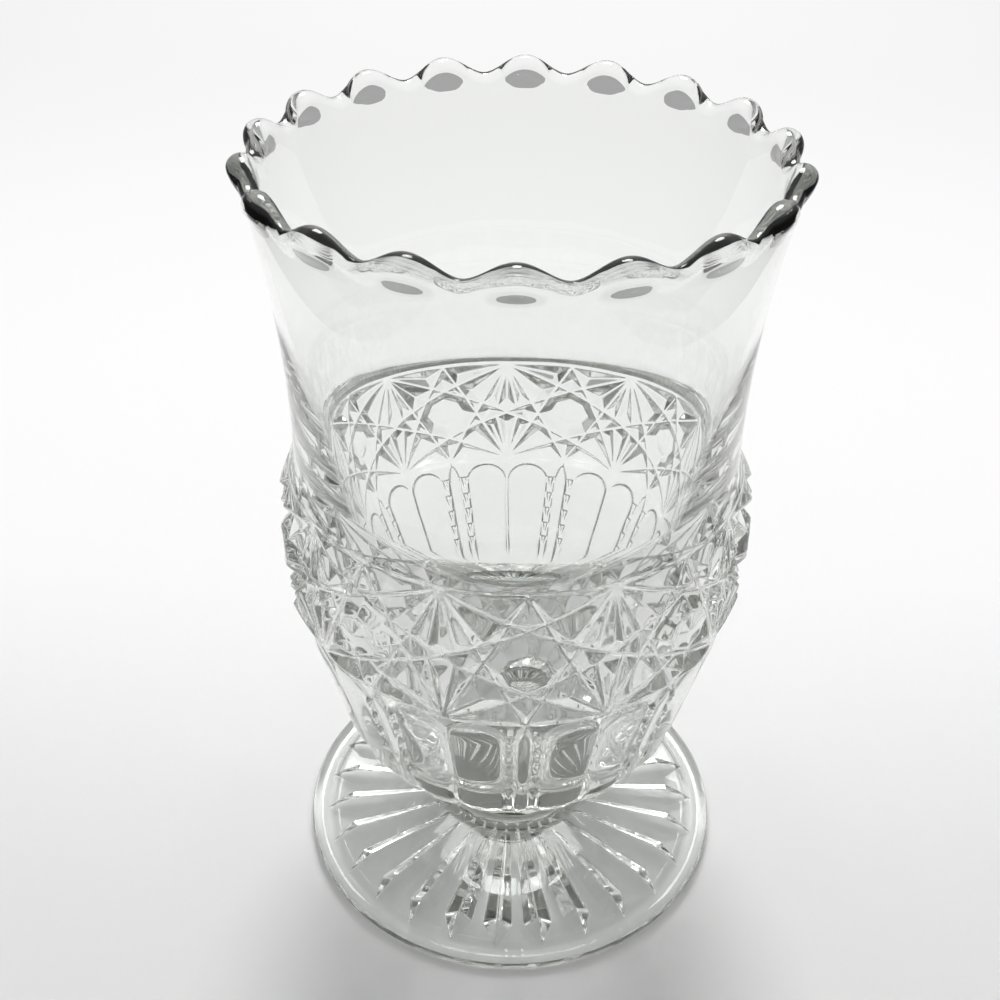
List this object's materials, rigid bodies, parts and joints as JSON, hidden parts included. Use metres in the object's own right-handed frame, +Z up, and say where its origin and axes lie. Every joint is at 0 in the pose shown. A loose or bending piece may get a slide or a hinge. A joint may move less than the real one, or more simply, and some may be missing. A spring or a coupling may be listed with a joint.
{
  "type": "celery vase",
  "caption": "Clear pressed-glass celery vase: scalloped flared cup over a fan-and-button band and a fluted base, on a short stem and a round rayed foot.",
  "frame": {"origin": "centre of the foot on the surface it stands on", "axes": "+Z up along the axis of the vase, +Y towards the back as pictured, +X to the right"},
  "size_m": [0.0984, 0.0998, 0.1652],
  "materials": {
    "clear_glass": "fire-polished, clear, nearly colourless"
  },
  "bodies": {
    "root": {"bowl": "clear_glass", "stem": "clear_glass", "foot": "clear_glass"}
  },
  "joints": []
}
